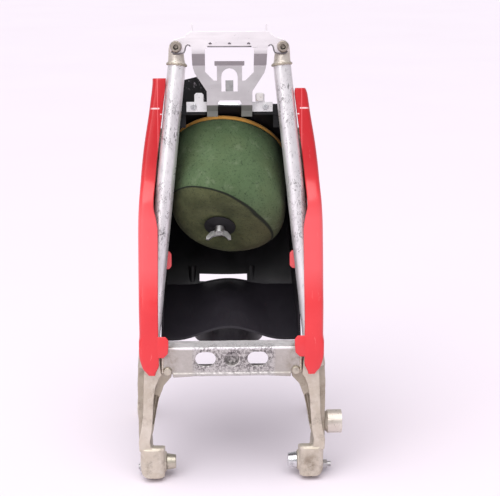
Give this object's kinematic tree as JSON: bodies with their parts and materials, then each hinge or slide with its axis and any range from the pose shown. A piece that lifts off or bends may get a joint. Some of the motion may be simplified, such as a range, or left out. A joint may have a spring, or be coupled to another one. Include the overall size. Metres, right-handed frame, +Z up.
{
  "type": "motorcycle rear subframe with airbox",
  "caption": "Aluminium rear subframe that stands on its frame mounts, with upper rails, airbox, foam filter and red side panels.",
  "frame": {"origin": "centre of the footprint, on the plane that the two feet and the two strut eyes stand on", "axes": "+Z up along the legs to the tail, -Y towards the side with the open airbox, +X towards the exhaust boss"},
  "size_m": [0.3116, 0.2748, 0.6499],
  "materials": {
    "tube_aluminium": "scuffed bright extruded tube",
    "cast_aluminium": "forged, pale champagne cast with grime",
    "sheet_aluminium": "satin folded sheet",
    "steel": "zinc-plated, worn",
    "brass": "dull, dirty",
    "black_plastic": "moulded, slight sheen",
    "rubber": "matt",
    "red_plastic": "moulded in colour, lightly scratched",
    "green_foam": "open-cell foam",
    "orange_foam": "open-cell foam, oiled"
  },
  "bodies": {
    "frame": {"left_upper_rail": "tube_aluminium", "right_upper_rail": "tube_aluminium", "left_lower_strut": "tube_aluminium", "right_lower_strut": "tube_aluminium", "left_tail_boss": "cast_aluminium", "right_tail_boss": "cast_aluminium", "left_leg_casting": "cast_aluminium", "right_leg_casting": "cast_aluminium", "cross_member": "cast_aluminium", "exhaust_mount_boss": "cast_aluminium", "left_strut_eye": "cast_aluminium", "right_strut_eye": "cast_aluminium", "tail_bracket": "sheet_aluminium", "left_clip_plate": "sheet_aluminium", "right_clip_plate": "sheet_aluminium", "left_tail_bolt": "steel", "right_tail_bolt": "steel", "left_mount_collar": "steel", "right_mount_collar": "steel", "left_foot_pad_bolt": "steel", "right_foot_pad_bolt": "steel", "left_foot_side_bolt": "steel", "right_foot_side_bolt": "steel", "left_cross_bolt": "steel", "right_cross_bolt": "steel", "seat_catch": "steel", "left_clip_screw": "steel", "right_clip_screw": "steel", "boot_clamp": "steel", "filter_spider": "steel", "clip_nut": "brass", "airbox_body": "black_plastic", "floor_collar": "black_plastic", "splash_flap": "black_plastic", "filter_cage": "black_plastic", "intake_boot": "rubber", "left_side_panel": "red_plastic", "right_side_panel": "red_plastic", "filter_foam": "green_foam", "filter_rim": "orange_foam"},
    "retainer": {"retainer_washer": "rubber"},
    "wing_bolt": {"wing_bolt": "steel"}
  },
  "joints": [
    {"name": "retainer_backoff", "type": "slide", "parent": "frame", "child": "retainer", "axis": [-0.1, -0.7701, -0.6301], "range_m": [0, 0.00825]},
    {"name": "wing_bolt_turn", "type": "hinge", "parent": "retainer", "child": "wing_bolt", "pos_m": [-0.00475, 0.04845, 0.454], "axis": [-0.1, -0.7701, -0.6301], "range_deg": [0, 2974]}
  ],
  "couplings": [
    {"joint": "wing_bolt_turn", "follows": "retainer_backoff", "rad_per_m": 6283.2}
  ]
}
